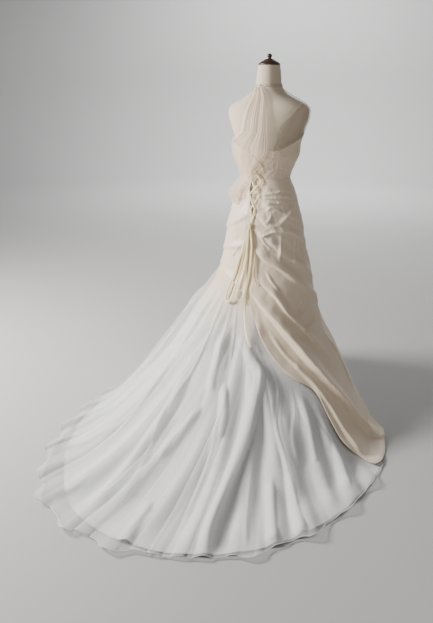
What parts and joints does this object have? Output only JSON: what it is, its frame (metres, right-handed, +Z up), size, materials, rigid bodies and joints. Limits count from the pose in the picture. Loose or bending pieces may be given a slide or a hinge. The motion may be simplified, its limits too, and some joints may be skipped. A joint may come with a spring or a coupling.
{
  "type": "wedding dress on a dress form",
  "caption": "Strapless satin gown with sheer halter yoke, laced back, gathered hip and long tulle train, worn by a limbless dress form on a stand.",
  "frame": {"origin": "on the floor, at the centre of the round stand base's flat underside", "axes": "+Z up; +Y towards the back of the gown, where the train runs; +X towards the wearer's left"},
  "size_m": [1.3774, 1.7116, 1.5776],
  "materials": {
    "satin": "cream satin with a soft gloss",
    "underskirt": "white layered underskirt",
    "tulle": "sheer ivory tulle",
    "ribbon": "cream satin ribbon",
    "form_cloth": "beige jersey cover",
    "wood": "dark stained and lacquered",
    "metal": "dark painted steel"
  },
  "bodies": {
    "root": {"bodice_front": "satin", "bodice_back_left": "satin", "bodice_back_right": "satin", "modesty_panel": "satin", "loop_tape_left": "ribbon", "loop_tape_right": "ribbon", "lacing_under": "ribbon", "lacing_over": "ribbon", "bow_knot": "ribbon", "bow_loop_left": "ribbon", "bow_loop_middle": "ribbon", "ribbon_tail_long": "ribbon", "ribbon_tail_short": "ribbon", "neck_band": "ribbon", "neck_hook": "metal", "tulle_yoke": "tulle", "tulle_drape": "tulle", "hip_left": "satin", "overskirt_right": "satin", "skirt_front": "satin", "underskirt": "underskirt", "tulle_overlay": "tulle", "form_body": "form_cloth", "neck_cap": "wood", "finial": "wood", "stand_pole": "metal", "stand_base": "metal"}
  },
  "joints": []
}
